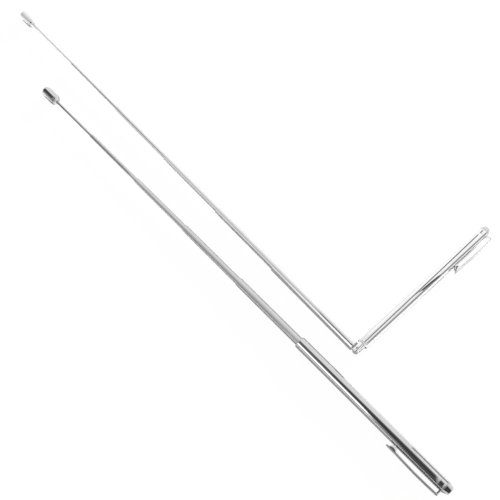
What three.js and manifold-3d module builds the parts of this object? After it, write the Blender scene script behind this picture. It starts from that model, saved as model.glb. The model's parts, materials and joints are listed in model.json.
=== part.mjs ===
// A pair of pen-type telescopic antenna rods: one drawn out straight with its knuckle stowed in the
// handle, one drawn right out and folded square at the knuckle. Both rods are made by the same function.
//
// Units are millimetres, +Z is up and the rods lie on z = 0. Each rod is built along its own X axis:
// x = 0 is the handle's mouth, the handle runs towards +X and the telescopic sections towards -X.

import * as THREE from 'three';
import { mergeVertices } from 'three/addons/utils/BufferGeometryUtils.js';
import Module from 'manifold-3d';

const wasm = await Module();
wasm.setup();

// ---- Driving dimensions -----------------------------------------------------------------------

// telescopic sections: 1 is the widest tube, 6 is the solid tip rod
const TIP_ROD_OD = 2.6;
const TUBE_WALL = 0.25;
const TUBE_GAP = 0.25;              // radial room between one section and the bore around it
const TUBES = 5;
const FIRST_REACH = 88.7;           // knuckle pivot to the mouth of section 1
const LIP_LENGTH = 1.2;             // rolled-in mouth that keeps the next section in
const LIP_GAP = 0.06;
const LIP_ROUNDING = 0.12;
const STOP_SLACK = 0.3;
const BEAD_LENGTH = 0.8;            // raised beads either side of a friction spring
const BEAD_HEIGHT = 0.18;
const SPRING_LENGTH = 4.7;
const SPRING_THICKNESS = 0.15;
const SPRING_GAP = 0.04;            // between the spring and the tube it hugs
const SPRING_END_GAP = 0.1;
const MOUTH_STEP = 1;               // what each section stands proud when pushed home
// how far short of the knuckle plug the base of sections 2 to 6 stops when pushed home
const HOME_CLEARANCE = [2.7, 2.9, 1.9, 1.7, 7.2];

// tip button
const BUTTON_LENGTH = 20.5;
const BUTTON_DOME = 4.2;
const BUTTON_SOCKET = 6;
const SOCKET_END_GAP = 0.5;         // left past the end of the tip rod
const SOCKET_RIM = 1.25;            // face round the socket, as a share of its radius
const DOME_STEPS = 5;

// knuckle: fork, tongue and pin
const FORK_OD = 5.8;
const FORK_SLOT = 2.2;
const SLOT_ROOT_GAP = 1.1;          // slot behind the tongue's round end
const TONGUE_SIDE_GAP = 0.1;
const TONGUE_INSET = 0.4;           // tongue's edge inside the fork's outline
const PIN_OD = 1.8;
const PIN_FIT = 0.02;
const PIN_RUNNING_GAP = 0.05;
const PIN_RECESS = 0.265;           // pin's ends below the crown of the fork
const KNUCKLE_GAP = 0.2;            // fork's round end to the end of section 1
const TONGUE_PLUG_LENGTH = 8.2;
const PRESS_GAP = 0.02;

// carriage: the bush that slides in the handle and in which the knuckle turns
const CARRIAGE_LENGTH = 7;
const CARRIAGE_GAP = 0.06;
const GROOVE_DEPTH = 0.44;
const GROOVE_SHOULDER = 1;
const COLLAR_LENGTH = 1.2;          // collar round the fork that fills the handle's mouth
const COLLAR_GAP = 0.2;             // radial room between collar and mouth
const SHANK_STEP = 0.5;             // shank's radius below the fork's
const SHANK_GAP = 0.05;
const NECK_STEP = 0.7;              // neck's radius below the shank's
const RETAINER_STEP = 0.8;          // retainer's radius above the shank's
const RETAINER_THICKNESS = 1.1;
const AXIAL_PLAY = 0.1;

// handle
const HANDLE_WALL = 0.4;
const HANDLE_GAP = 0.3;             // radial room around section 1
const HANDLE_LIP_GAP = 0.12;
const MOUTH_CHAMFER = 0.5;
const STOWED_INSET = 0.2;           // section 1's mouth inside the handle's when stowed
const END_SPARE = 14.4;             // free bore left behind the stowed carriage
const PLUG_DEPTH = 12;
const SCREW_OD = 3.5;
const SCREW_GAP = 0.05;
const SCREW_ENGAGEMENT = 5.5;
const SPIGOT_OD = 6;
const SPIGOT_INSET = 0.2;           // spigot's end below the clip ring's face
const THREAD_RUNOUT = 1;            // screw hole past the end of the screw
const RING_LENGTH = 4.5;
const RING_GAP = 0.05;
const KNOB_LENGTH = 4.6;
const KNOB_END_OD = 5.9;
const KNOB_CHAMFER = 0.3;

// pocket clip
const CLIP_LENGTH = 43.5;           // root to tip
const CLIP_WIDTH = 3.8;
const CLIP_THICKNESS = 0.9;
const CLIP_OPENING = 3;             // between handle and blade at the blade's ends
const CLIP_BOW = 0.55;              // more at its middle
const BOW_STEPS = 6;
const CLIP_TOUCH_GAP = 0.08;
const BUMP_FROM_TIP = 5;
const BUMP_LENGTH = 5.6;
const LUG_LENGTH = 1.3;
const CLIP_ROOT_INSET = 0.3;        // root axis to the outer face of the clip ring
const CLIP_ROOT_GAP = 0.1;
const BUMP_STEPS = 6;

// how the pair lies
const STRAIGHT_DRAWN_IN = [1.7, 4.4, 7.9, 8.8, 15.4];   // sections 2 to 6, short of their full reach
const BENT_DRAWN_IN = [0, 0, 0, 0, 0];
const BENT_PIVOT = { x: 31.75, y: 26 };                 // measured from the straight rod's mouth
const BENT_SPLAY = THREE.MathUtils.degToRad(1.6);       // bent rod's sections away from parallel

const TUBE_SIDES = 16;
const HANDLE_SIDES = 20;
const CURVE_SEGMENTS = 6;
const OVERSHOOT = 1;                // how far a cutting tool runs past what it cuts

// ---- Sizes that follow from them -----------------------------------------------------------------

const PIVOT_TO_TUBE = FORK_OD / 2 + KNUCKLE_GAP;
const TONGUE_THICKNESS = FORK_SLOT - 2 * TONGUE_SIDE_GAP;
const TONGUE_HALF_WIDTH = FORK_OD / 2 - TONGUE_INSET;
const SLOT_DEPTH = TONGUE_HALF_WIDTH + SLOT_ROOT_GAP;
const PIN_LENGTH = FORK_OD - 2 * PIN_RECESS;
const SHANK_RADIUS = FORK_OD / 2 - SHANK_STEP;
const NECK_RADIUS = SHANK_RADIUS - NECK_STEP;
const RETAINER_RADIUS = SHANK_RADIUS + RETAINER_STEP;
const PIVOT_TO_MOUTH = FORK_OD;     // when the knuckle is drawn right out

const TUBE_STEP = TUBE_WALL + TUBE_GAP;
const sectionRadius = (k) => TIP_ROD_OD / 2 + (TUBES + 1 - k) * TUBE_STEP;
const boreRadius = (k) => sectionRadius(k) - TUBE_WALL;
const HANDLE_BORE = sectionRadius(1) + HANDLE_GAP;
const HANDLE_RADIUS = HANDLE_BORE + HANDLE_WALL;
const ENGAGED = LIP_LENGTH + STOP_SLACK + 2 * BEAD_LENGTH + 2 * SPRING_END_GAP + SPRING_LENGTH;
const FREE_DEPTH = FIRST_REACH - PIVOT_TO_TUBE - TONGUE_PLUG_LENGTH;
const homeStep = (k) => (k <= TUBES ? k - 1 : TUBES - 1 / 2) * MOUTH_STEP;
const sectionLength = (k) => FREE_DEPTH + homeStep(k) - HOME_CLEARANCE[k - 2];
const sectionReach = (k) => sectionLength(k) - ENGAGED;

const CARRIAGE_START = PIVOT_TO_MOUTH + LIP_LENGTH + AXIAL_PLAY;      // from the pivot
const CARRIAGE_END = CARRIAGE_START + CARRIAGE_LENGTH;
const RETAINER_START = CARRIAGE_END + 2 * AXIAL_PLAY;
const SHANK_END = RETAINER_START - AXIAL_PLAY / 2;
const NECK_END = RETAINER_START + RETAINER_THICKNESS;
const STOW_TRAVEL = FIRST_REACH + PIVOT_TO_MOUTH + STOWED_INSET;
const HANDLE_LENGTH = STOW_TRAVEL - PIVOT_TO_MOUTH + NECK_END + END_SPARE + PLUG_DEPTH;
const RING_START = HANDLE_LENGTH + RING_GAP;
const RING_END = RING_START + RING_LENGTH;
const KNOB_START = RING_END + RING_GAP;
const SCREW_END = RING_START - SCREW_ENGAGEMENT;
const CLIP_ROOT_X = RING_END - CLIP_ROOT_INSET;
const CLIP_INNER_Y = -(HANDLE_RADIUS + CLIP_OPENING);
const CLIP_OUTER_Y = CLIP_INNER_Y - CLIP_THICKNESS;

// ---- Materials ---------------------------------------------------------------------------------------

const metal = (color, roughness) => new THREE.MeshStandardMaterial({ color, roughness, metalness: 1 });
const chrome = () => metal(0xd2d5d9, 0.08);
const steel = () => metal(0xb4b7ba, 0.3);
const brass = () => metal(0xb7964a, 0.35);

// ---- Geometry helpers --------------------------------------------------------------------------------

function signedVolume(geometry) {
  const p = geometry.attributes.position;
  const index = geometry.index;
  const [a, b, c] = [new THREE.Vector3(), new THREE.Vector3(), new THREE.Vector3()];
  let volume = 0;
  for (let i = 0; i < index.count; i += 3) {
    a.fromBufferAttribute(p, index.getX(i));
    b.fromBufferAttribute(p, index.getX(i + 1));
    c.fromBufferAttribute(p, index.getX(i + 2));
    volume += a.dot(b.cross(c)) / 6;
  }
  return volume;
}

// shared vertices merged, and the faces turned to point outwards
function closed(geometry) {
  geometry.deleteAttribute('normal');
  geometry.deleteAttribute('uv');
  const merged = mergeVertices(geometry, 1e-5);
  if (signedVolume(merged) < 0) {
    const index = merged.index.array;
    for (let i = 0; i < index.length; i += 3) [index[i], index[i + 1]] = [index[i + 1], index[i]];
  }
  return merged;
}

// a solid of revolution about X, from an outline of [x, radius] points
function turned(outline, sides) {
  const onAxis = outline[0][1] === 0;
  const points = outline.map(([x, r]) => new THREE.Vector2(r, x));
  if (!onAxis) points.push(points[0].clone());
  return closed(new THREE.LatheGeometry(points, sides).rotateZ(-Math.PI / 2));
}

// an outline in the XY plane, thickened evenly to both sides of z = 0
function plate(shape, thickness) {
  const options = { depth: thickness, bevelEnabled: false, curveSegments: CURVE_SEGMENTS };
  return closed(new THREE.ExtrudeGeometry(shape, options).translate(0, 0, -thickness / 2));
}

// a round rod along Z
function pinAlongZ(radius, length) {
  const end = length / 2;
  return turned([[-end, 0], [-end, radius], [end, radius], [end, 0]], TUBE_SIDES).rotateY(Math.PI / 2);
}

// a ring about X with one facet left open, its facets in line with those of a turned tube
function splitRing(x0, x1, inner, outer, sides) {
  const angle = (i) => (2 * Math.PI * i) / sides;
  const corner = (i, r) => new THREE.Vector2(r * Math.cos(angle(i)), r * Math.sin(angle(i)));
  const points = [];
  for (let i = 0; i < sides; i++) points.push(corner(i, outer));
  for (let i = sides - 1; i >= 0; i--) points.push(corner(i, inner));
  return plate(new THREE.Shape(points), x1 - x0).rotateY(Math.PI / 2).translate((x0 + x1) / 2, 0, 0);
}

function toSolid(geometry) {
  return new wasm.Manifold(new wasm.Mesh({
    numProp: 3,
    vertProperties: new Float32Array(geometry.attributes.position.array),
    triVerts: new Uint32Array(geometry.index.array),
  }));
}

function fromSolid(solid) {
  const mesh = solid.getMesh();
  const geometry = new THREE.BufferGeometry();
  geometry.setAttribute('position', new THREE.BufferAttribute(mesh.vertProperties, mesh.numProp));
  geometry.setIndex(new THREE.BufferAttribute(mesh.triVerts, 1));
  return geometry;
}

function piece(parent, name, geometry, material) {
  const mesh = new THREE.Mesh(geometry, material);
  mesh.name = name;
  parent.add(mesh);
}

// ---- Telescopic sections, u counted from a section's mouth towards its base ---------------------------

// the two beads and the spring seat between them, on the outside of a section's base
function beadedBase(length, radius) {
  const bead = radius + BEAD_HEIGHT;
  const lowerBead = length - BEAD_LENGTH;
  const seatStart = lowerBead - SPRING_LENGTH - 2 * SPRING_END_GAP;
  const upperBead = seatStart - BEAD_LENGTH;
  return [
    [upperBead, radius], [upperBead, bead], [seatStart, bead], [seatStart, radius],
    [lowerBead, radius], [lowerBead, bead], [length, bead],
  ];
}

function tube(k, length) {
  const radius = sectionRadius(k);
  const lip = sectionRadius(k + 1) + LIP_GAP;
  const bore = boreRadius(k);
  const base = k === 1 ? [[length, radius]] : beadedBase(length, radius);
  return turned([
    [0, lip], [0, radius - LIP_ROUNDING], [2 * LIP_ROUNDING, radius],
    ...base,
    [length, bore], [LIP_LENGTH + LIP_ROUNDING, bore], [LIP_LENGTH, lip],
  ], TUBE_SIDES);
}

function tipRod(length) {
  const radius = sectionRadius(TUBES + 1);
  const start = SOCKET_END_GAP - BUTTON_SOCKET;
  return turned([[start, 0], [start, radius], ...beadedBase(length, radius), [length, 0]], TUBE_SIDES);
}

function frictionSpring(k, length) {
  const end = length - BEAD_LENGTH - SPRING_END_GAP;
  const inner = sectionRadius(k) + SPRING_GAP;
  return splitRing(end - SPRING_LENGTH, end, inner, inner + SPRING_THICKNESS, TUBE_SIDES);
}

// rounded at both ends, with a blind socket for the tip rod; its rod-side end is at u = 0
function tipButton() {
  const radius = HANDLE_RADIUS;
  const socket = sectionRadius(TUBES + 1) + PRESS_GAP;
  const rim = Math.asin((socket * SOCKET_RIM) / radius);
  const outline = [[-BUTTON_SOCKET, 0], [-BUTTON_SOCKET, socket], [0, socket]];
  for (let i = 0; i <= DOME_STEPS; i++) {
    const angle = rim + (i / DOME_STEPS) * (Math.PI / 2 - rim);
    outline.push([-BUTTON_DOME * (1 - Math.cos(angle)), radius * Math.sin(angle)]);
  }
  for (let i = 0; i < DOME_STEPS; i++) {
    const angle = (i / DOME_STEPS) * (Math.PI / 2);
    outline.push([-BUTTON_LENGTH + BUTTON_DOME * (1 - Math.sin(angle)), radius * Math.cos(angle)]);
  }
  outline.push([-BUTTON_LENGTH, 0]);
  return turned(outline, HANDLE_SIDES);
}

// ---- Knuckle, x counted from its pivot ----------------------------------------------------------------

// a bar along X of the given half width whose end at the pivot is round
function roundEndedBar(halfWidth, farX) {
  const shape = new THREE.Shape();
  const side = Math.sign(farX);
  shape.moveTo(farX, -side * halfWidth);
  shape.lineTo(farX, side * halfWidth);
  shape.lineTo(0, side * halfWidth);
  const top = side > 0 ? Math.PI / 2 : -Math.PI / 2;
  shape.absarc(0, 0, halfWidth, top, top + Math.PI, false);
  return shape;
}

function knuckleFork() {
  const radius = FORK_OD / 2;
  const shoulder = CARRIAGE_START - AXIAL_PLAY;
  const blank = turned([
    [-radius - OVERSHOOT, 0], [-radius - OVERSHOOT, radius], [shoulder, radius], [shoulder, SHANK_RADIUS],
    [SHANK_END, SHANK_RADIUS], [SHANK_END, NECK_RADIUS], [NECK_END, NECK_RADIUS], [NECK_END, 0],
  ], HANDLE_SIDES);
  const rounded = plate(roundEndedBar(radius, NECK_END + OVERSHOOT), FORK_OD + OVERSHOOT);
  const slotLength = SLOT_DEPTH + radius + OVERSHOOT;
  const slot = closed(new THREE.BoxGeometry(slotLength, FORK_OD + OVERSHOOT, FORK_SLOT)
    .translate(SLOT_DEPTH - slotLength / 2, 0, 0));
  const hole = pinAlongZ(PIN_OD / 2 + PIN_FIT, FORK_OD + OVERSHOOT);
  const body = toSolid(blank).intersect(toSolid(rounded));
  return fromSolid(body.subtract(toSolid(slot)).subtract(toSolid(hole)));
}

function knuckleTongue() {
  const plugRadius = boreRadius(1) - PRESS_GAP;
  const plugEnd = -PIVOT_TO_TUBE - TONGUE_PLUG_LENGTH;
  const plug = turned([
    [plugEnd, 0], [plugEnd, plugRadius], [-PIVOT_TO_TUBE, plugRadius], [-PIVOT_TO_TUBE, 0],
  ], TUBE_SIDES);
  const tongue = plate(roundEndedBar(TONGUE_HALF_WIDTH, -PIVOT_TO_TUBE - OVERSHOOT), TONGUE_THICKNESS);
  const hole = pinAlongZ(PIN_OD / 2 + PIN_RUNNING_GAP, FORK_OD);
  return fromSolid(toSolid(plug).add(toSolid(tongue)).subtract(toSolid(hole)));
}

function swivelRetainer() {
  const bore = NECK_RADIUS + PRESS_GAP;
  return turned([
    [RETAINER_START, bore], [RETAINER_START, RETAINER_RADIUS],
    [NECK_END, RETAINER_RADIUS], [NECK_END, bore],
  ], HANDLE_SIDES);
}

function carriageBush() {
  const radius = HANDLE_BORE - CARRIAGE_GAP;
  const groove = radius - GROOVE_DEPTH;
  const bore = SHANK_RADIUS + SHANK_GAP;
  const collarBore = FORK_OD / 2 + SHANK_GAP;
  const collarRadius = sectionRadius(1) + HANDLE_LIP_GAP - COLLAR_GAP;
  const collarStart = CARRIAGE_START - COLLAR_LENGTH;
  const g0 = CARRIAGE_START + GROOVE_SHOULDER;
  const g1 = CARRIAGE_END - GROOVE_SHOULDER;
  return turned([
    [CARRIAGE_START, bore], [CARRIAGE_START, collarBore], [collarStart, collarBore],
    [collarStart, collarRadius], [CARRIAGE_START, collarRadius], [CARRIAGE_START, radius],
    [g0, radius], [g0, groove],
    [g1, groove], [g1, radius], [CARRIAGE_END, radius], [CARRIAGE_END, bore],
  ], HANDLE_SIDES);
}

function carriageSpring() {
  const seat = HANDLE_BORE - CARRIAGE_GAP - GROOVE_DEPTH;
  const inset = GROOVE_SHOULDER + SPRING_END_GAP;
  const inner = seat + SPRING_GAP;
  const outer = HANDLE_BORE - SPRING_GAP;
  return splitRing(CARRIAGE_START + inset, CARRIAGE_END - inset, inner, outer, HANDLE_SIDES);
}

// ---- Handle, x counted from its mouth ------------------------------------------------------------------

function handleTube() {
  const lip = sectionRadius(1) + HANDLE_LIP_GAP;
  return turned([
    [0, lip], [0, HANDLE_RADIUS - MOUTH_CHAMFER], [MOUTH_CHAMFER, HANDLE_RADIUS],
    [HANDLE_LENGTH, HANDLE_RADIUS], [HANDLE_LENGTH, HANDLE_BORE],
    [LIP_LENGTH + LIP_ROUNDING, HANDLE_BORE], [LIP_LENGTH, lip],
  ], HANDLE_SIDES);
}

function endPlug() {
  const start = HANDLE_LENGTH - PLUG_DEPTH;
  const radius = HANDLE_BORE - PRESS_GAP;
  const spigotEnd = RING_END - SPIGOT_INSET;
  const thread = SCREW_OD / 2 + SCREW_GAP;
  const threadEnd = SCREW_END - THREAD_RUNOUT;
  return turned([
    [start, 0], [start, radius], [HANDLE_LENGTH, radius], [HANDLE_LENGTH, SPIGOT_OD / 2],
    [spigotEnd, SPIGOT_OD / 2], [spigotEnd, thread], [threadEnd, thread], [threadEnd, 0],
  ], HANDLE_SIDES);
}

function clipRing() {
  const ring = turned([
    [RING_START, SPIGOT_OD / 2 + RING_GAP], [RING_START, HANDLE_RADIUS],
    [RING_END, HANDLE_RADIUS], [RING_END, SPIGOT_OD / 2 + RING_GAP],
  ], HANDLE_SIDES);
  const lugInner = -(HANDLE_RADIUS + SPIGOT_OD / 2 + RING_GAP) / 2;
  const lugOuter = CLIP_INNER_Y + CLIP_ROOT_GAP;
  const lug = closed(new THREE.BoxGeometry(LUG_LENGTH, lugInner - lugOuter, CLIP_WIDTH)
    .translate(RING_END - LUG_LENGTH / 2, (lugInner + lugOuter) / 2, 0));
  return fromSolid(toSolid(ring).add(toSolid(lug)));
}

function endKnob() {
  const stem = SCREW_OD / 2;
  const end = KNOB_START + KNOB_LENGTH;
  const endRadius = KNOB_END_OD / 2;
  const taper = ((HANDLE_RADIUS - endRadius) / KNOB_LENGTH) * KNOB_CHAMFER;
  return turned([
    [SCREW_END, 0], [SCREW_END, stem], [KNOB_START, stem],
    [KNOB_START, HANDLE_RADIUS - KNOB_CHAMFER], [KNOB_START + KNOB_CHAMFER, HANDLE_RADIUS - taper],
    [end - KNOB_CHAMFER, endRadius + taper], [end, endRadius - KNOB_CHAMFER], [end, 0],
  ], HANDLE_SIDES);
}

// the blade lies beside the handle, with a bump that rests on it
function clipBlade() {
  const tipX = CLIP_ROOT_X - CLIP_LENGTH;
  const bumpEnd = tipX + BUMP_FROM_TIP + BUMP_LENGTH / 2;
  const rootY = (CLIP_INNER_Y + CLIP_OUTER_Y) / 2;
  const bumpHeight = CLIP_OPENING - CLIP_TOUCH_GAP;
  const bowed = [];
  for (let i = 0; i <= BOW_STEPS; i++) {
    const along = i / BOW_STEPS;
    const x = bumpEnd + (CLIP_ROOT_X - bumpEnd) * along;
    bowed.push([x, -CLIP_BOW * Math.sin(Math.PI * along)]);
  }
  const shape = new THREE.Shape();
  shape.moveTo(tipX, CLIP_OUTER_Y);
  for (const [x, bow] of bowed) shape.lineTo(x, CLIP_OUTER_Y + bow);
  shape.absarc(CLIP_ROOT_X, rootY, CLIP_THICKNESS / 2, -Math.PI / 2, Math.PI / 2, false);
  for (const [x, bow] of bowed.slice(0, -1).reverse()) shape.lineTo(x, CLIP_INNER_Y + bow);
  for (let i = 1; i <= BUMP_STEPS; i++) {
    const across = i / BUMP_STEPS;
    const height = bumpHeight * Math.sin(Math.PI * across);
    shape.lineTo(bumpEnd - BUMP_LENGTH * across, CLIP_INNER_Y + height);
  }
  shape.lineTo(tipX, rootY);
  return plate(shape, CLIP_WIDTH);
}

// ---- One rod ------------------------------------------------------------------------------------------

// stowed: how far the knuckle is pushed into the handle; bend: the knuckle's angle away from straight
function rod(name, { stowed, bend, drawnIn }) {
  const handle = new THREE.Group();
  piece(handle, `${name}_handle_tube`, handleTube(), chrome());
  piece(handle, `${name}_end_plug`, endPlug(), steel());
  piece(handle, `${name}_clip_ring`, clipRing(), chrome());
  piece(handle, `${name}_clip_blade`, clipBlade(), chrome());
  piece(handle, `${name}_end_knob`, endKnob(), chrome());

  const knuckle = new THREE.Group();
  knuckle.position.x = stowed - PIVOT_TO_MOUTH;
  handle.add(knuckle);
  piece(knuckle, `${name}_carriage_bush`, carriageBush(), steel());
  piece(knuckle, `${name}_carriage_spring`, carriageSpring(), steel());
  piece(knuckle, `${name}_knuckle_fork`, knuckleFork(), chrome());
  piece(knuckle, `${name}_hinge_pin`, pinAlongZ(PIN_OD / 2, PIN_LENGTH), steel());
  piece(knuckle, `${name}_swivel_retainer`, swivelRetainer(), steel());

  const swing = new THREE.Group();
  swing.rotation.z = bend;
  knuckle.add(swing);
  piece(swing, `${name}_knuckle_tongue`, knuckleTongue(), chrome());

  let mouth = -FIRST_REACH;
  const addAtMouth = (part, geometry, material) => {
    piece(swing, `${name}_${part}`, geometry.translate(mouth, 0, 0), material);
  };
  addAtMouth('section_1_tube', tube(1, FIRST_REACH - PIVOT_TO_TUBE), chrome());
  for (let k = 2; k <= TUBES + 1; k++) {
    const length = sectionLength(k);
    mouth -= sectionReach(k) - drawnIn[k - 2];
    if (k <= TUBES) addAtMouth(`section_${k}_tube`, tube(k, length), chrome());
    else addAtMouth('tip_rod', tipRod(length), chrome());
    addAtMouth(`section_${k}_spring`, frictionSpring(k, length), brass());
  }
  addAtMouth('tip_button', tipButton(), chrome());
  return handle;
}

// ---- The pair, lying on z = 0 ---------------------------------------------------------------------------

const pair = new THREE.Group();

const straight = rod('straight', { stowed: STOW_TRAVEL, bend: 0, drawnIn: STRAIGHT_DRAWN_IN });
straight.position.z = HANDLE_RADIUS;
pair.add(straight);

// the bent rod's handle runs along +Y, and its sections run back beside the straight rod
const bent = rod('bent', { stowed: 0, bend: -Math.PI / 2 - BENT_SPLAY, drawnIn: BENT_DRAWN_IN });
bent.rotation.z = Math.PI / 2;
bent.position.set(BENT_PIVOT.x, BENT_PIVOT.y + PIVOT_TO_MOUTH, HANDLE_RADIUS);
pair.add(bent);

// origin: the middle of the pair's footprint
pair.updateMatrixWorld(true);
const box = new THREE.Box3().setFromObject(pair, true);
pair.position.set(-(box.min.x + box.max.x) / 2, -(box.min.y + box.max.y) / 2, -box.min.z);
pair.updateMatrixWorld(true);

export default pair;
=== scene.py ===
import json
import math

import bmesh
import bpy
import numpy as np
from mathutils import Matrix, Vector


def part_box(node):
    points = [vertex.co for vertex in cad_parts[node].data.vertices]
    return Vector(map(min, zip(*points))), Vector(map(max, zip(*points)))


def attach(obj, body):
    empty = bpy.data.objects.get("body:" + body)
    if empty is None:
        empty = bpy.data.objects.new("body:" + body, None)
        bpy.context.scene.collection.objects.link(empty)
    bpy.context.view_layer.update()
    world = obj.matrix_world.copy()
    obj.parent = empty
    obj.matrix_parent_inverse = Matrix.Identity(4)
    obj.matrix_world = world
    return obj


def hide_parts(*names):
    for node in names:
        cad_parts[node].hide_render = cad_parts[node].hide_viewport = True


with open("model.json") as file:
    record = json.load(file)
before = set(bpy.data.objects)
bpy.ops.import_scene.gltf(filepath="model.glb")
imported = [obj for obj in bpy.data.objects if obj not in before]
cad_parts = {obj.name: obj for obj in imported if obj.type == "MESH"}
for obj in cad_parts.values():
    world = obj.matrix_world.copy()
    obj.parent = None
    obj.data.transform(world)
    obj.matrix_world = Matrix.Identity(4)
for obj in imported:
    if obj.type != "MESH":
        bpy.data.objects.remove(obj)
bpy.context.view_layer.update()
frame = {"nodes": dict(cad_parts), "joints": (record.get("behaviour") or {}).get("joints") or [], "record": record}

# Lengths in this script are millimetres unless a comment says otherwise; the frame is in metres.
MM = 0.001

# Telescopic sections: 1 is the widest, and 6 is the solid tip rod.
SECTIONS = 6
TIP_RADIUS = 1.3
SECTION_STEP = 0.5
SECTION_WALL = 0.25
LIP_GAP = 0.06
LIP_LENGTH = 1.2
LIP_SLOPE = 0.25
ROLLED_DROP = 0.12
ROLLED_LENGTH = 0.34
BEAD_HEIGHT = 0.18
BEAD_LENGTH = 0.8
SPRING_SEAT = 4.9

# Dimples pressed round section 1: distance from its base, and places round it in degrees. Edges longer than
# LONG_EDGE are divided for them, and only CRIMP_ZONE from the base is pressed.
CRIMP_ROWS = {2.8: (35, 95, 155, 215, 275, 335), 5.6: (65, 125, 245, 305)}
CRIMP_DEPTH = 0.22
CRIMP_REACH = 0.55
CRIMP_ZONE = 8
CRIMP_MARGIN = 0.02
CRIMP_CUTS = 200
LONG_EDGE = 30

# Tip button.
SOCKET_DEPTH = 6
SOCKET_GAP = 0.02
SOCKET_LEAD_IN = 0.12
BUTTON_RIM = 0.45
BUTTON_DOME = 4.2
DOME_STEPS = 14

# Knuckle and bush.
FORK_RADIUS = 2.9
FORK_SLOT = 2.2
SLOT_DEPTH = 3.6
SHANK_RADIUS = 2.4
SHANK_LAP = 0.1
SHANK_PAST_BUSH = 0.15
NECK_RADIUS = 1.7
TONGUE_THICKNESS = 2.0
TONGUE_WIDTH = 5.0
PLUG_GAP = 0.02
FORK_HOLE_GAP = 0.02
TONGUE_HOLE_GAP = 0.05
HOLE_SIDES = 32
PIN_SIDES = 40
FORK_EDGE = 0.18
TONGUE_EDGE = 0.12
BUSH_GAP = 0.05
BUSH_LAND = 1
BUSH_GROOVE = 0.44
COLLAR_GAP = 0.08
COLLAR_NOSE = 0.4
COLLAR_SHOULDER = 0.1

# Handle, ring and knob.
HANDLE_WALL = 0.4
HANDLE_LIP_GAP = 0.12
HANDLE_LIP_SLOPE = 0.12
MOUTH_ROUND = 0.5
RING_INSET = 0.02
RING_EDGE = 0.15
SPIGOT_RADIUS = 3.05
SCREW_RADIUS = 1.75
LUG_LENGTH = 1.3
LUG_HALF_WIDTH = 1.9
KNOB_GAP = 0.05
KNOB_END_RADIUS = 2.92
KNOB_DISH_RADIUS = 1.3
KNOB_DISH = 0.12
KNOB_DISH_SLOPE = 0.2

# Clip blade.
CLIP_THICKNESS = 0.9
CLIP_BOW = 0.55
BUMP_START = 2.2
BUMP_END = 7.8
NOSE_LENGTH = 1.9
NOSE_LEAST = 0.04
ROOT_DROP = 0.4
CLIP_EDGE = 0.22
CLIP_EDGE_SHARE = 0.3
CLIP_EDGE_EASE = 0.3
CLIP_STEPS = 120
CLIP_SHARP_ANGLE = 50

# How finely things are made. A fillet takes at most FILLET_SHARE of the sides next to it.
LATHE_SIDES = 72
ROUND_STEPS = 4
FILLET_SHARE = 0.45
END_STEPS = 24
ON_AXIS = 1e-6
SOFTEN_ANGLE = 35
SOFTEN_SEGMENTS = 2
SHARP_ANGLE = 38

# How far cutting tools and blanks run past the piece, or into it.
CLEAR = 9
TOOL_REACH = 5
BLANK_PAST = 1
BAR_PAST = 2
BAR_LAP = 1

# Light levels, the sun's angle in degrees, and in metres the floor's half width and how far off a rod
# its cards are.
PAPER_GLOW = 0.95
PAPER_WHITE = (0.82, 0.82, 0.82, 1)
PAPER_SHADE = (0.08, 0.08, 0.08, 1)
SKY_AHEAD = 1.3
SKY_BEHIND = 0.28
SKY_ON_FLOOR = 0.55
SUN_ENERGY = 13
SUN_ANGLE = 6
SUN_DIRECTION = (0.05, -0.97, -0.22)
FLOOR_HALF = 8
NEAR = 0.08
BETWEEN = 0.022
FAR_OFF = 4.0
CARD_STEPS = 16

# Places along a rod from its handle's mouth that cards are measured from, and how far beyond the tip
# button's base one of them reaches.
MID_HANDLE = 65
ON_KNOB = 138
PAST_BUTTON = 90

# The photo's viewpoint: angles in degrees, and where it looks on the floor from the straight handle's mouth.
CAMERA_YAW = 140.61
CAMERA_PITCH = 61.11
CAMERA_ROLL = -3.13
CAMERA_DISTANCE = 540.4
AIM_FROM_MOUTH = (-82.0, 26.2, 0)
SENSOR_WIDTH = 36
LENS_PER_WIDTH = 1.3854


# ---- Places on a rod ---------------------------------------------------------------------------------


def section_radius(k):
    return TIP_RADIUS + (SECTIONS - k) * SECTION_STEP


def centre(node):
    low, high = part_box(node)
    return (low + high) / 2


def place(origin, along):
    """A local frame: X along the rod, Z up, Y to the left of X."""
    x = Vector(along).normalized()
    z = Vector((0, 0, 1))
    at = Matrix((x, z.cross(x), z)).transposed().to_4x4()
    at.translation = origin
    return at


def extent(node, at):
    """A CAD node's lowest and highest corners in a local frame, in millimetres."""
    inverse = np.array(at.inverted())
    points = np.array([v.co for v in frame["nodes"][node].data.vertices], float)
    local = (points @ inverse[:3, :3].T + inverse[:3, 3]) / MM
    return local.min(0), local.max(0)


def joint(name):
    return next(j for j in frame["joints"] if j["name"] == name)


def body_of(node):
    bodies = frame["record"]["behaviour"]["bodies"]
    return next(name for name, nodes in bodies.items() if node in nodes)


def survey(name):
    """Where a rod's handle, fork and sections are, from the CAD model."""
    along = centre(f"{name}_end_knob") - centre(f"{name}_handle_tube")
    handle_at = place(centre(f"{name}_handle_tube"), along)
    low = extent(f"{name}_handle_tube", handle_at)[0]
    handle_at = handle_at @ Matrix.Translation((low[0] * MM, 0, 0))
    pivot = centre(f"{name}_hinge_pin")
    fork_at = place(pivot, along)
    pin_high = extent(f"{name}_hinge_pin", fork_at)[1]
    outward = Vector(joint(f"{name}_section_2_slide")["axis"])
    return {
        "name": name,
        "handle_at": handle_at,
        "handle_radius": extent(f"{name}_handle_tube", handle_at)[1][2],
        "fork_at": fork_at,
        "fork_body": body_of(f"{name}_knuckle_fork"),
        "pin_radius": pin_high[0],
        "pin_top": pin_high[2],
        "sections_at": place(pivot, -outward),
    }


# ---- Mesh helpers ------------------------------------------------------------------------------------


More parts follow.
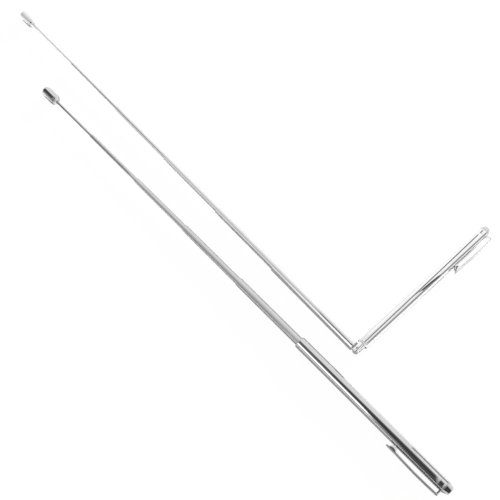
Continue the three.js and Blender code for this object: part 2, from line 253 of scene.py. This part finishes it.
def rounded(outline, closed):
    """An outline of (x, r) or (x, r, fillet) points with its marked corners rounded."""
    points = []
    last = len(outline) - 1
    for i, point in enumerate(outline):
        corner = Vector(point[:2])
        fillet = point[2] if len(point) > 2 else 0
        if not fillet or (not closed and i in (0, last)):
            points.append(corner)
            continue
        back = Vector(outline[i - 1][:2]) - corner
        on = Vector(outline[(i + 1) % len(outline)][:2]) - corner
        reach = min(fillet, back.length * FILLET_SHARE, on.length * FILLET_SHARE)
        back.normalize()
        on.normalize()
        start, end = corner + back * reach, corner + on * reach
        for k in range(ROUND_STEPS + 1):
            t = k / ROUND_STEPS
            points.append(start * (1 - t) ** 2 + corner * (2 * t * (1 - t)) + end * t ** 2)
    return points


def turned_mesh(bm, outline, closed, sides):
    """A surface of revolution about X; an open outline starts and ends on the axis."""
    rings = []
    for point in rounded(outline, closed):
        if point.y < ON_AXIS:
            rings.append([bm.verts.new((point.x, 0, 0))])
            continue
        ring = []
        for i in range(sides):
            a = 2 * math.pi * i / sides
            ring.append(bm.verts.new((point.x, point.y * math.cos(a), point.y * math.sin(a))))
        rings.append(ring)
    pairs = list(zip(rings, rings[1:]))
    if closed:
        pairs.append((rings[-1], rings[0]))
    for a, b in pairs:
        if len(a) == 1 and len(b) == 1:
            continue
        for i in range(sides):
            j = (i + 1) % sides
            if len(a) == 1:
                bm.faces.new((a[0], b[j], b[i]))
            elif len(b) == 1:
                bm.faces.new((a[i], a[j], b[0]))
            else:
                bm.faces.new((a[i], a[j], b[j], b[i]))


def plate_mesh(bm, outline, half):
    """A flat plate of an (x, y) outline, from -half to +half in z."""
    low = [bm.verts.new((x, y, -half)) for x, y in outline]
    high = [bm.verts.new((x, y, half)) for x, y in outline]
    bm.faces.new(low)
    bm.faces.new(high[::-1])
    for i in range(len(outline)):
        j = (i + 1) % len(outline)
        bm.faces.new((low[i], high[i], high[j], low[j]))


def new_object(name, build, at):
    """An object at a local frame, from a function that fills a mesh in millimetres."""
    mesh = bpy.data.meshes.new(name)
    bm = bmesh.new()
    build(bm)
    bmesh.ops.recalc_face_normals(bm, faces=bm.faces)
    bmesh.ops.scale(bm, vec=(MM, MM, MM), verts=bm.verts)
    bm.to_mesh(mesh)
    bm.free()
    obj = bpy.data.objects.new(name, mesh)
    bpy.context.scene.collection.objects.link(obj)
    obj.matrix_world = at
    return obj


def turned(name, outline, at, closed=False, sides=LATHE_SIDES):
    return new_object(name, lambda bm: turned_mesh(bm, outline, closed, sides), at)


def plate_tool(outline, half, at):
    return new_object("tool", lambda bm: plate_mesh(bm, outline, half), at)


def settle(obj):
    """Turns an object's modifiers into its mesh."""
    bpy.context.view_layer.update()
    graph = bpy.context.evaluated_depsgraph_get()
    mesh = bpy.data.meshes.new_from_object(obj.evaluated_get(graph))
    obj.modifiers.clear()
    old = obj.data
    obj.data = mesh
    mesh.name = obj.name
    bpy.data.meshes.remove(old)


def cut(obj, tool, operation="DIFFERENCE"):
    """Applies a boolean with another object, which is then removed."""
    modifier = obj.modifiers.new("cut", "BOOLEAN")
    modifier.operation = operation
    modifier.solver = "EXACT"
    modifier.object = tool
    settle(obj)
    mesh = tool.data
    bpy.data.objects.remove(tool)
    bpy.data.meshes.remove(mesh)


def soften(obj, width):
    """Small rounded edges where faces meet sharply."""
    modifier = obj.modifiers.new("soften", "BEVEL")
    modifier.width = width * MM
    modifier.segments = SOFTEN_SEGMENTS
    modifier.limit_method = "ANGLE"
    modifier.angle_limit = math.radians(SOFTEN_ANGLE)
    modifier.harden_normals = False
    modifier.use_clamp_overlap = True
    settle(obj)


def finish_piece(obj, body, material, nodes, sharp=SHARP_ANGLE):
    """Shades a piece, says what it rides, and hides the CAD nodes it stands for."""
    for polygon in obj.data.polygons:
        polygon.use_smooth = True
    obj.data.set_sharp_from_angle(angle=math.radians(sharp))
    obj.data.materials.clear()
    obj.data.materials.append(material)
    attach(obj, body)
    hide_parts(*nodes)


# ---- Materials ---------------------------------------------------------------------------------------

ALONG = (0.02, 1, 1)
ROUND = (1, 0.03, 0.03)
EVEN = (1, 1, 1)
HAIRLINE = (0.03, 1, 1)
BUMP_METRES = 0.00002
HAZE_SCALE = 55
HAZE_RANGE = (0.35, 0.7)
HAIR_SCALE = 1500
HAIR_RANGE = (0.62, 0.72)
HAZE_DULLING = 0.93


def empty_material(name):
    """A material with only its output, and the lists that its nodes and links are made in."""
    material = bpy.data.materials.new(name)
    material.use_nodes = True
    nodes, links = material.node_tree.nodes, material.node_tree.links
    nodes.clear()
    output = nodes.new("ShaderNodeOutputMaterial")
    return material, nodes, links, output


def metal(name, colour, roughness, spread, line_scale, line_stretch, bump):
    """Polished metal: fine lines along or round the piece, cloudy haze and stray hair scratches."""
    material, nodes, links, output = empty_material(name)
    shader = nodes.new("ShaderNodeBsdfPrincipled")
    shader.inputs["Metallic"].default_value = 1.0
    links.new(shader.outputs["BSDF"], output.inputs["Surface"])
    coordinates = nodes.new("ShaderNodeTexCoord")

    def noise(scale, stretch, detail, seed):
        mapping = nodes.new("ShaderNodeMapping")
        mapping.inputs["Scale"].default_value = stretch
        mapping.inputs["Location"].default_value = (seed, seed * 0.7, seed * 1.3)
        links.new(coordinates.outputs["Object"], mapping.inputs["Vector"])
        texture = nodes.new("ShaderNodeTexNoise")
        texture.inputs["Scale"].default_value = scale
        texture.inputs["Detail"].default_value = detail
        texture.inputs["Roughness"].default_value = 0.6
        links.new(mapping.outputs["Vector"], texture.inputs["Vector"])
        return texture.outputs["Fac"]

    def ranged(value, given, wanted):
        node = nodes.new("ShaderNodeMapRange")
        node.inputs["From Min"].default_value = given[0]
        node.inputs["From Max"].default_value = given[1]
        node.inputs["To Min"].default_value = wanted[0]
        node.inputs["To Max"].default_value = wanted[1]
        links.new(value, node.inputs["Value"])
        return node.outputs["Result"]

    lines = noise(line_scale, line_stretch, 3, 0.11)
    haze = noise(HAZE_SCALE, EVEN, 4, 0.37)
    hairs = noise(HAIR_SCALE, HAIRLINE, 2, 0.71)

    mix = nodes.new("ShaderNodeMix")
    mix.data_type = "RGBA"
    mix.inputs["A"].default_value = colour
    mix.inputs["B"].default_value = tuple(c * HAZE_DULLING for c in colour[:3]) + (1,)
    links.new(ranged(haze, HAZE_RANGE, (0, 1)), mix.inputs["Factor"])
    links.new(mix.outputs["Result"], shader.inputs["Base Color"])

    total = nodes.new("ShaderNodeMath")
    total.operation = "ADD"
    links.new(ranged(haze, HAZE_RANGE, (roughness, roughness + spread)), total.inputs[0])
    links.new(ranged(hairs, HAIR_RANGE, (0, spread)), total.inputs[1])
    links.new(total.outputs["Value"], shader.inputs["Roughness"])

    relief = nodes.new("ShaderNodeBump")
    relief.inputs["Strength"].default_value = bump
    relief.inputs["Distance"].default_value = BUMP_METRES
    links.new(lines, relief.inputs["Height"])
    links.new(relief.outputs["Normal"], shader.inputs["Normal"])
    return material


# The two rods are one chrome in two copies that differ only in brightness: the straight rod's copy is darker, as
# painted shade, and the bent rod's copy is lighter, as painted light, for how differently each rod is lit.
chrome = {
    "straight": metal("polished_chrome_painted_darker", (0.70, 0.70, 0.71, 1), 0.06, 0.05, 900, ALONG, 0.10),
    "bent": metal("chrome_painted_lighter", (0.86, 0.86, 0.87, 1), 0.06, 0.05, 900, ALONG, 0.10),
}
# The drawn tubes have the same two copies: painted shade darkens the straight rod's, and painted light brightens
# the bent rod's.
drawn_chrome = {
    "straight": metal("drawn_tube_chrome_painted_darker", (0.68, 0.68, 0.69, 1), 0.08, 0.06, 1100, ALONG, 0.16),
    "bent": metal("drawn_chrome_painted_lighter", (0.84, 0.84, 0.85, 1), 0.08, 0.06, 1100, ALONG, 0.16),
}
turned_steel = metal("turned_steel", (0.62, 0.62, 0.63, 1), 0.24, 0.10, 2600, ROUND, 0.35)
# The knob is the same chrome as the handle. Its turned lines and roughness are its own, but its darker colour is
# painted shade.
knob_chrome_painted_darker = metal("turned_knob_chrome", (0.56, 0.56, 0.57, 1), 0.14, 0.08, 2200, ROUND, 0.20)
spring_brass = metal("spring_brass", (0.72, 0.53, 0.24, 1), 0.24, 0.12, 1600, EVEN, 0.30)


# ---- Telescopic sections -----------------------------------------------------------------------------


def tube_outline(k, x0, x1):
    """A drawn tube, its rolled-in mouth at x0 and its swaged base at x1."""
    radius = section_radius(k)
    bore = radius - SECTION_WALL
    lip = section_radius(k + 1) + LIP_GAP
    points = [(x0, lip, 0.1), (x0, radius - ROLLED_DROP, 0.18), (x0 + ROLLED_LENGTH, radius, 0.2)]
    points += [(x1, radius, 0.12)] if k == 1 else beads(x1, radius)
    points += [(x1, bore, 0.08), (x0 + LIP_LENGTH + LIP_SLOPE, bore, 0.1), (x0 + LIP_LENGTH, lip, 0.1)]
    return points


def beads(x1, radius):
    """The two raised beads that hold a friction spring on a section's base."""
    upper_end = x1 - BEAD_LENGTH - SPRING_SEAT
    high = radius + BEAD_HEIGHT
    return [
        (upper_end - BEAD_LENGTH, radius, 0.1),
        (upper_end - BEAD_LENGTH, high, 0.14),
        (upper_end, high, 0.14),
        (upper_end, radius, 0.06),
        (x1 - BEAD_LENGTH, radius, 0.06),
        (x1 - BEAD_LENGTH, high, 0.14),
        (x1, high, 0.14),
    ]


def button_outline(x0, x1, radius):
    """A tip button with rounded ends; its tip is at x0 and the rod enters at x1."""
    socket = TIP_RADIUS + SOCKET_GAP
    rim = math.asin((socket + BUTTON_RIM) / radius)
    points = []
    for i in range(DOME_STEPS + 1):
        a = i / DOME_STEPS * math.pi / 2
        points.append((x0 + BUTTON_DOME * (1 - math.cos(a)), radius * math.sin(a)))
    for i in range(1, DOME_STEPS + 1):
        a = i / DOME_STEPS * (math.pi / 2 - rim)
        past = BUTTON_DOME * math.sin(a) / math.cos(rim)
        points.append((x1 - BUTTON_DOME + past, radius * math.cos(a)))
    points += [(x1, socket + SOCKET_LEAD_IN, 0.1), (x1 - SOCKET_LEAD_IN, socket)]
    return points + [(x1 - SOCKET_DEPTH, socket), (x1 - SOCKET_DEPTH, 0)]


def crimp(obj, end):
    """Pressed dimples round section 1 that hold it on the knuckle's plug."""
    radius = section_radius(1)
    dimples = [(end - back, a) for back, angles in CRIMP_ROWS.items() for a in angles]
    bm = bmesh.new()
    bm.from_mesh(obj.data)
    band = [e for e in bm.edges if abs(e.verts[0].co.x - e.verts[1].co.x) > LONG_EDGE * MM]
    bmesh.ops.subdivide_edges(bm, edges=band, cuts=CRIMP_CUTS, use_grid_fill=True)
    for v in bm.verts:
        x, y, z = (c / MM for c in v.co)
        r = math.hypot(y, z)
        if r < radius - CRIMP_MARGIN or x < end - CRIMP_ZONE:
            continue
        around = math.degrees(math.atan2(z, y))
        for dimple_x, dimple_angle in dimples:
            arc = math.radians((around - dimple_angle + 180) % 360 - 180) * radius
            share = math.hypot(x - dimple_x, arc) / CRIMP_REACH
            if share < 1:
                pressed = radius - CRIMP_DEPTH * (1 - share * share) ** 2
                v.co.y *= pressed / r
                v.co.z *= pressed / r
                break
    bm.to_mesh(obj.data)
    bm.free()


def tube(rod, k):
    name, at = rod["name"], rod["sections_at"]
    node = f"{name}_section_{k}_tube"
    low, high = extent(node, at)
    piece = turned(f"{name}_section_{k}", tube_outline(k, low[0], high[0]), at, closed=True)
    if k == 1:
        crimp(piece, high[0])
    body = f"{name}_first_section" if k == 1 else f"{name}_section_{k}"
    finish_piece(piece, body, drawn_chrome[name], [node])


def tip_rod(rod):
    name, at = rod["name"], rod["sections_at"]
    low, high = extent(f"{name}_tip_rod", at)
    outline = [(low[0], 0), (low[0], TIP_RADIUS, 0.1)]
    outline += beads(high[0], TIP_RADIUS) + [(high[0], 0)]
    piece = turned(f"{name}_tip_section", outline, at)
    finish_piece(piece, f"{name}_tip", drawn_chrome[name], [f"{name}_tip_rod"])


def tip_button(rod):
    name, at = rod["name"], rod["sections_at"]
    low, high = extent(f"{name}_tip_button", at)
    piece = turned(f"{name}_button", button_outline(low[0], high[0], high[2]), at)
    finish_piece(piece, f"{name}_tip", chrome[name], [f"{name}_tip_button"])


# ---- Knuckle -----------------------------------------------------------------------------------------

UPRIGHT = Matrix.Rotation(math.pi / 2, 4, "Y")


def round_end(half, far):
    """A bar from far to the pivot at x = 0, with a round end there."""
    side = 1 if far > 0 else -1
    points = [(far, -side * half), (far, side * half)]
    for i in range(END_STEPS + 1):
        a = math.pi / 2 + math.pi * i / END_STEPS
        points.append((side * half * math.cos(a), side * half * math.sin(a)))
    return points


def drill(obj, at, radius):
    """An upright hole through the pivot."""
    hole = [(-TOOL_REACH, 0), (-TOOL_REACH, radius), (TOOL_REACH, radius), (TOOL_REACH, 0)]
    cut(obj, turned("tool", hole, at @ UPRIGHT, sides=HOLE_SIDES))


def fork(rod):
    """The slotted head, with the shank and neck that turn in the bush."""
    name, at = rod["name"], rod["fork_at"]
    end = extent(f"{name}_knuckle_fork", at)[1][0]
    bush_low, bush_high = extent(f"{name}_carriage_bush", at)
    shank_low = bush_low[0] + LIP_LENGTH - SHANK_LAP
    shank_high = bush_high[0] + SHANK_PAST_BUSH
    reach = FORK_RADIUS + BLANK_PAST
    outline = [
        (-reach, 0), (-reach, FORK_RADIUS),
        (shank_low, FORK_RADIUS, 0.25), (shank_low, SHANK_RADIUS, 0.1),
        (shank_high, SHANK_RADIUS, 0.15), (shank_high, NECK_RADIUS, 0.1),
        (end, NECK_RADIUS, 0.2), (end, 0),
    ]
    piece = turned(f"{name}_fork", outline, at)
    cut(piece, plate_tool(round_end(FORK_RADIUS, end + BAR_PAST), TOOL_REACH, at), "INTERSECT")
    slot = [(-CLEAR, -CLEAR), (SLOT_DEPTH, -CLEAR), (SLOT_DEPTH, CLEAR), (-CLEAR, CLEAR)]
    cut(piece, plate_tool(slot, FORK_SLOT / 2, at))
    drill(piece, at, rod["pin_radius"] + FORK_HOLE_GAP)
    soften(piece, FORK_EDGE)
    finish_piece(piece, rod["fork_body"], chrome[name], [f"{name}_knuckle_fork"])


def pin(rod):
    """The hinge pin, domed at both ends."""
    name, radius, top = rod["name"], rod["pin_radius"], rod["pin_top"]
    crown = [
        (top - 0.4, radius, 0.1), (top - 0.14, radius * 0.85, 0.1),
        (top - 0.02, radius * 0.45), (top, 0),
    ]
    outline = [(-x, *rest) for x, *rest in reversed(crown)] + crown
    piece = turned(f"{name}_pin", outline, rod["fork_at"] @ UPRIGHT, sides=PIN_SIDES)
    finish_piece(piece, rod["fork_body"], turned_steel, [f"{name}_hinge_pin"])


def tongue(rod):
    """The flat tongue in the fork's slot, and the plug that section 1 is crimped on."""
    name, at = rod["name"], rod["sections_at"]
    start = extent(f"{name}_knuckle_tongue", at)[0][0]
    tube_end = extent(f"{name}_section_1_tube", at)[1][0]
    plug = section_radius(1) - SECTION_WALL - PLUG_GAP
    outline = [(start, 0), (start, plug, 0.2), (tube_end, plug, 0.3), (tube_end, 0)]
    piece = turned(f"{name}_tongue", outline, at)
    bar = round_end(TONGUE_WIDTH / 2, tube_end - BAR_LAP)
    cut(piece, plate_tool(bar, TONGUE_THICKNESS / 2, at), "UNION")
    drill(piece, at, rod["pin_radius"] + TONGUE_HOLE_GAP)
    soften(piece, TONGUE_EDGE)
    body = f"{name}_first_section"
    finish_piece(piece, body, chrome[name], [f"{name}_knuckle_tongue"])


def bush(rod):
    """The sliding bush, with a sprung groove and a collar that rounds over at the mouth."""
    name, at = rod["name"], rod["fork_at"]
    node = f"{name}_carriage_bush"
    low, high = extent(node, at)
    start, end, radius = low[0] + LIP_LENGTH, high[0], high[2]
    bore, mouth = SHANK_RADIUS + BUSH_GAP, FORK_RADIUS + BUSH_GAP
    collar = section_radius(1) - COLLAR_GAP
    groove = radius - BUSH_GROOVE
    outline = [
        (start, bore), (start, mouth), (low[0] - COLLAR_NOSE, mouth, 0.1),
        (low[0] + COLLAR_SHOULDER, collar, 0.5), (start, collar), (start, radius, 0.15),
        (start + BUSH_LAND, radius, 0.1), (start + BUSH_LAND, groove), (end - BUSH_LAND, groove),
        (end - BUSH_LAND, radius, 0.1), (end, radius, 0.15), (end, bore),
    ]
    piece = turned(f"{name}_bush", outline, at, closed=True)
    finish_piece(piece, body_of(node), chrome[name], [node])


# ---- Handle ------------------------------------------------------------------------------------------


def barrel(rod):
    name, at, radius = rod["name"], rod["handle_at"], rod["handle_radius"]
    end = extent(f"{name}_handle_tube", at)[1][0]
    bore = radius - HANDLE_WALL
    lip = section_radius(1) + HANDLE_LIP_GAP
    outline = [
        (0, lip, 0.1), (0, radius - MOUTH_ROUND, 0.2), (MOUTH_ROUND, radius, 0.5),
        (end, radius, 0.12), (end, bore),
        (LIP_LENGTH + HANDLE_LIP_SLOPE, bore, 0.1), (LIP_LENGTH, lip, 0.1),
    ]
    piece = turned(f"{name}_barrel", outline, at, closed=True)
    finish_piece(piece, f"{name}_handle", chrome[name], [f"{name}_handle_tube"])


def clip_ring(rod):
    """The ring between handle and knob, with the lug that carries the clip."""
    name, at, radius = rod["name"], rod["handle_at"], rod["handle_radius"]
    low, high = extent(f"{name}_clip_ring", at)
    start, end = low[0], high[0]
    outline = [
        (start, SPIGOT_RADIUS), (start, radius - RING_INSET, 0.2),
        (end, radius - RING_INSET, 0.2), (end, SPIGOT_RADIUS),
    ]
    piece = turned(f"{name}_ring", outline, at, closed=True)
    outer, inner = low[1], -(SPIGOT_RADIUS + radius) / 2
    lug = [(end - LUG_LENGTH, outer), (end, outer), (end, inner), (end - LUG_LENGTH, inner)]
    cut(piece, plate_tool(lug, LUG_HALF_WIDTH, at), "UNION")
    soften(piece, RING_EDGE)
    finish_piece(piece, f"{name}_handle", chrome[name], [f"{name}_clip_ring"])


def knob(rod):
    """The end knob on its screw, a little dished at the end."""
    name, at, radius = rod["name"], rod["handle_at"], rod["handle_radius"]
    low, high = extent(f"{name}_end_knob", at)
    start = extent(f"{name}_clip_ring", at)[1][0] + KNOB_GAP
    end = high[0]
    outline = [
        (low[0], 0), (low[0], SCREW_RADIUS, 0.2), (start, SCREW_RADIUS),
        (start, radius - 0.1, 0.25), (start + 0.5, radius - 0.15, 0.3),
        (end - 0.3, KNOB_END_RADIUS + 0.12, 0.2), (end, KNOB_END_RADIUS - 0.15, 0.12),
        (end, KNOB_DISH_RADIUS, 0.1), (end - KNOB_DISH, KNOB_DISH_RADIUS - KNOB_DISH_SLOPE, 0.1),
        (end - KNOB_DISH, 0),
    ]
    piece = turned(f"{name}_knob", outline, at)
    finish_piece(piece, f"{name}_handle", knob_chrome_painted_darker, [f"{name}_end_knob"])


def blade_stations(low, high):
    """The clip's outer side, inner side and half width at each step along it."""
    tip, root = low[0], high[0]
    outer = low[1] + CLIP_BOW
    inner = outer + CLIP_THICKNESS
    bump_height = high[1] - inner
    root_round = CLIP_THICKNESS / 2
    bow_start, bow_end = tip + BUMP_END, root - root_round
    stations = []
    for i in range(CLIP_STEPS + 1):
        x = tip + (root - tip) * i / CLIP_STEPS
        y0, y1, width = outer, inner, high[2]
        if x > bow_start:
            bow = CLIP_BOW * max(0, math.sin(math.pi * (x - bow_start) / (bow_end - bow_start)))
            y0, y1 = y0 - bow, y1 - bow
        elif x > tip + BUMP_START:
            share = (x - tip - BUMP_START) / (BUMP_END - BUMP_START)
            y1 += bump_height * math.sin(math.pi * share)
        else:
            y1 -= CLIP_THICKNESS / 2 * (1 - (x - tip) / BUMP_START)
        if x < tip + NOSE_LENGTH:
            width *= math.sqrt(max(NOSE_LEAST, 1 - (1 - (x - tip) / NOSE_LENGTH) ** 2))
        if x > bow_end:
            drop = root_round - math.sqrt(max(0, root_round ** 2 - (x - bow_end) ** 2))
            y0, y1 = y0 + min(drop, ROOT_DROP), y1 - min(drop, ROOT_DROP)
        stations.append((x, y0, y1, width))
    return stations


def blade_mesh(bm, stations):
    """A strip with eased edges through the stations, closed at both ends."""
    rings = []
    for x, y0, y1, w in stations:
        e = min(CLIP_EDGE, (y1 - y0) * CLIP_EDGE_SHARE)
        s = e * CLIP_EDGE_EASE
        section = [
            (y0, -w + e), (y0, 0), (y0, w - e), (y0 + s, w - s), (y0 + e, w),
            (y1 - e, w), (y1 - s, w - s), (y1, w - e), (y1, 0), (y1, -w + e),
            (y1 - s, -w + s), (y1 - e, -w), (y0 + e, -w), (y0 + s, -w + s),
        ]
        rings.append([bm.verts.new((x, y, z)) for y, z in section])
    count = len(rings[0])
    for a, b in zip(rings, rings[1:]):
        for i in range(count):
            j = (i + 1) % count
            bm.faces.new((a[i], a[j], b[j], b[i]))
    bm.faces.new(rings[0])
    bm.faces.new(rings[-1][::-1])


def clip(rod):
    """The sprung blade: a long strip with a pressed bump, a rounded nose and a rolled root."""
    name, at = rod["name"], rod["handle_at"]
    node = f"{name}_clip_blade"
    stations = blade_stations(*extent(node, at))
    piece = new_object(f"{name}_clip", lambda bm: blade_mesh(bm, stations), at)
    finish_piece(piece, f"{name}_clip", chrome[name], [node], sharp=CLIP_SHARP_ANGLE)


# ---- The two rods ------------------------------------------------------------------------------------


def paint(node, material):
    """Gives a CAD node that is shown as it is one of the materials above."""
    mesh = frame["nodes"][node].data
    mesh.materials.clear()
    mesh.materials.append(material)


rods = [survey("straight"), survey("bent")]
for rod in rods:
    for k in range(1, SECTIONS):
        tube(rod, k)
    tip_rod(rod)
    tip_button(rod)
    fork(rod)
    pin(rod)
    tongue(rod)
    bush(rod)
    barrel(rod)
    clip_ring(rod)
    knob(rod)
    clip(rod)

for rod in rods:
    for part in ("end_plug", "carriage_spring", "swivel_retainer"):
        paint(f"{rod['name']}_{part}", turned_steel)
    for k in range(2, SECTIONS + 1):
        paint(f"{rod['name']}_section_{k}_spring", spring_brass)


# ---- Floor and cards ---------------------------------------------------------------------------------


def staged(name, build, material):
    """An object of the studio and not of the part."""
    mesh = bpy.data.meshes.new(name)
    bm = bmesh.new()
    build(bm)
    bm.to_mesh(mesh)
    bm.free()
    mesh.materials.append(material)
    obj = bpy.data.objects.new(name, mesh)
    bpy.context.scene.collection.objects.link(obj)
    return obj


def paper():
    """White paper: seen directly it is almost even, and in reflections it shows its light and shade."""
    material, nodes, links, output = empty_material("paper_white")
    path = nodes.new("ShaderNodeLightPath")
    glow = nodes.new("ShaderNodeEmission")
    glow.inputs["Strength"].default_value = PAPER_GLOW
    plain = nodes.new("ShaderNodeBsdfDiffuse")
    plain.inputs["Color"].default_value = PAPER_WHITE
    faint = nodes.new("ShaderNodeBsdfDiffuse")
    faint.inputs["Color"].default_value = PAPER_SHADE
    direct = nodes.new("ShaderNodeAddShader")
    links.new(glow.outputs[0], direct.inputs[0])
    links.new(faint.outputs[0], direct.inputs[1])
    mix = nodes.new("ShaderNodeMixShader")
    links.new(path.outputs["Is Camera Ray"], mix.inputs["Fac"])
    links.new(plain.outputs[0], mix.inputs[1])
    links.new(direct.outputs[0], mix.inputs[2])
    links.new(mix.outputs[0], output.inputs["Surface"])
    return material


def corner_mix(corners, u, v):
    """A point of a four-cornered patch, its shares u and v between 0 and 1."""
    return (
        corners[0][c] * (1 - u) * (1 - v) + corners[1][c] * u * (1 - v)
        + corners[2][c] * u * v + corners[3][c] * (1 - u) * v
        for c in range(3)
    )


def card(name, level, rod, radius, corners):
    """A studio card that only reflections see, a given distance in metres off a rod.

    Each corner is (across, tilt, station): how far the direction leans along X, its degrees from
    straight up towards +Y, and the place along the rod it is measured from.
    """
    material, nodes, links, output = empty_material(name)
    glow = nodes.new("ShaderNodeEmission")
    glow.inputs["Strength"].default_value = level
    links.new(glow.outputs[0], output.inputs["Surface"])

    def build(bm):
        rows = []
        for i in range(CARD_STEPS + 1):
            row = []
            for j in range(CARD_STEPS + 1):
                across, tilt, station = corner_mix(corners, i / CARD_STEPS, j / CARD_STEPS)
                a = math.radians(tilt)
                flat = math.sqrt(1 - across ** 2)
                ray = Vector((across, flat * math.sin(a), flat * math.cos(a)))
                origin = rod["handle_at"] @ Vector((station * MM, 0, 0))
                row.append(bm.verts.new(origin + ray * radius))
            rows.append(row)
        for a, b in zip(rows, rows[1:]):
            for j in range(CARD_STEPS):
                bm.faces.new((a[j], b[j], b[j + 1], a[j + 1]))

    obj = staged(name, build, material)
    obj.visible_camera = False
    obj.visible_diffuse = False
    obj.visible_shadow = False
    obj.visible_transmission = False


staged(
    "floor",
    lambda bm: bmesh.ops.create_grid(bm, x_segments=1, y_segments=1, size=FLOOR_HALF),
    paper(),
)

straight, bent = rods
button_low, button_high = extent("straight_tip_button", straight["handle_at"])
button_tip, button_base = button_low[0], button_high[0]

# Round the straight rod. Where two cards overlap, the one that shows is a little nearer to the rod.
card("flag_overhead", 0.15, straight, NEAR,
     [(-0.25, 8, -8), (0.02, 8, ON_KNOB), (0.02, -38, ON_KNOB), (-0.25, -34, -8)])
card("flag_core", 0.05, straight, NEAR * 0.95,
     [(-0.21, -12, 12), (0.02, -12, ON_KNOB), (0.02, -68, ON_KNOB), (-0.07, -52, 88)])
card("flag_low", 0.09, straight, NEAR * 0.9,
     [(-0.06, -42, 95), (0.02, -42, ON_KNOB), (0.02, -88, ON_KNOB), (-0.02, -88, 117)])
card("window", 1.9, straight, FAR_OFF,
     [(-0.36, -45, MID_HANDLE), (-0.09, -45, MID_HANDLE), (-0.05, -73, MID_HANDLE), (-0.36, -71, MID_HANDLE)])
card("wall_low", 0.42, straight, FAR_OFF,
     [(-0.45, -76, MID_HANDLE), (-0.03, -76, MID_HANDLE), (-0.03, -91, MID_HANDLE), (-0.45, -91, MID_HANDLE)])
card("wall_ahead", 0.98, straight, BETWEEN,
     [(-0.3, 20, -430), (-0.03, 20, 112), (-0.03, 78, 112), (-0.3, 78, -430)])
card("flag_far", 0.4, straight, BETWEEN * 0.95,
     [(-0.04, 44, 106), (0.02, 42, ON_KNOB), (0.02, 74, ON_KNOB), (-0.04, 74, 106)])

# Round the bent rod's handle.
card("band", 0.36, bent, NEAR,
     [(0.66, 30, -16), (0.92, 68, -16), (0.83, 75, 140), (0.60, 42, 140)])
card("streak", 0.14, bent, NEAR,
     [(0.33, 20, -14), (0.06, 21, -14), (-0.51, 37, 140), (-0.22, 32, 140)])
card("blob", 0.08, bent, NEAR * 0.95,
     [(0.10, 27, 50), (0.60, 36, 58), (0.80, 52, 80), (0.35, 32, 70)])
card("white_left", 1.2, bent, NEAR * 2,
     [(-0.5, 20, 0), (-0.8, 30, 0), (-0.8, 60, 130), (-0.5, 38, 130)])

# Round the straight rod's tip button and end knob.
card("flag_button", 0.08, straight, NEAR,
     [(-0.9, 20, button_tip), (-0.56, 12, button_base), (-0.56, -48, button_base), (-0.9, -60, button_tip)])
card("flag_tip", 0.3, straight, NEAR,
     [(-0.55, 30, button_base), (-0.5, 10, button_base + PAST_BUTTON),
      (-0.5, -60, button_base + PAST_BUTTON), (-0.55, -80, button_base)])
card("flag_knob", 0.06, straight, NEAR / 2,
     [(0.3, 20, ON_KNOB), (0.8, 20, ON_KNOB), (0.8, -88, ON_KNOB), (0.3, -88, ON_KNOB)])


# ---- Camera, sky and sun -----------------------------------------------------------------------------


def set_camera():
    """The photo's viewpoint, looking at a point on the floor near the straight handle's mouth."""
    data = bpy.data.cameras.new("camera")
    camera = bpy.data.objects.new("camera", data)
    bpy.context.scene.collection.objects.link(camera)
    bpy.context.scene.camera = camera
    mouth = straight["handle_at"].translation
    aim = Vector((mouth.x, mouth.y, 0)) + Vector(AIM_FROM_MOUTH) * MM
    yaw, pitch, roll = (math.radians(a) for a in (CAMERA_YAW, CAMERA_PITCH, CAMERA_ROLL))
    ahead = Vector((math.cos(yaw) * math.cos(pitch), math.sin(yaw) * math.cos(pitch), -math.sin(pitch)))
    sideways = Vector((math.sin(yaw), -math.cos(yaw), 0))
    above = sideways.cross(ahead)
    right = sideways * math.cos(roll) + above * math.sin(roll)
    upward = above * math.cos(roll) - sideways * math.sin(roll)
    turn = Matrix((right, upward, -ahead)).transposed().to_4x4()
    camera.matrix_world = Matrix.Translation(aim - ahead * CAMERA_DISTANCE * MM) @ turn
    data.sensor_width = SENSOR_WIDTH
    data.lens = SENSOR_WIDTH * LENS_PER_WIDTH
    data.clip_start = 0.01
    data.clip_end = 40


def set_sky():
    """A sky that is brighter towards +Y, and even as it lights the floor."""
    world = bpy.data.worlds.new("studio")
    bpy.context.scene.world = world
    world.use_nodes = True
    nodes, links = world.node_tree.nodes, world.node_tree.links
    background = nodes["Background"]
    background.inputs["Color"].default_value = (1, 1, 1, 1)
    direction = nodes.new("ShaderNodeTexCoord")
    split = nodes.new("ShaderNodeSeparateXYZ")
    slope = nodes.new("ShaderNodeMapRange")
    slope.inputs["From Min"].default_value = -1
    slope.inputs["To Min"].default_value = SKY_BEHIND
    slope.inputs["To Max"].default_value = SKY_AHEAD
    links.new(direction.outputs["Generated"], split.inputs[0])
    links.new(split.outputs["Y"], slope.inputs["Value"])
    path = nodes.new("ShaderNodeLightPath")
    mix = nodes.new("ShaderNodeMix")
    mix.inputs["B"].default_value = SKY_ON_FLOOR
    links.new(path.outputs["Is Diffuse Ray"], mix.inputs["Factor"])
    links.new(slope.outputs["Result"], mix.inputs["A"])
    links.new(mix.outputs["Result"], background.inputs["Strength"])


def set_sun():
    light = bpy.data.lights.new("key", "SUN")
    light.energy = SUN_ENERGY
    light.angle = math.radians(SUN_ANGLE)
    key = bpy.data.objects.new("key", light)
    bpy.context.scene.collection.objects.link(key)
    key.rotation_euler = Vector(SUN_DIRECTION).to_track_quat("-Z", "Y").to_euler()
    key.visible_glossy = False


set_camera()
set_sky()
set_sun()

view = bpy.context.scene.view_settings
view.view_transform = "Standard"
view.look = "None"
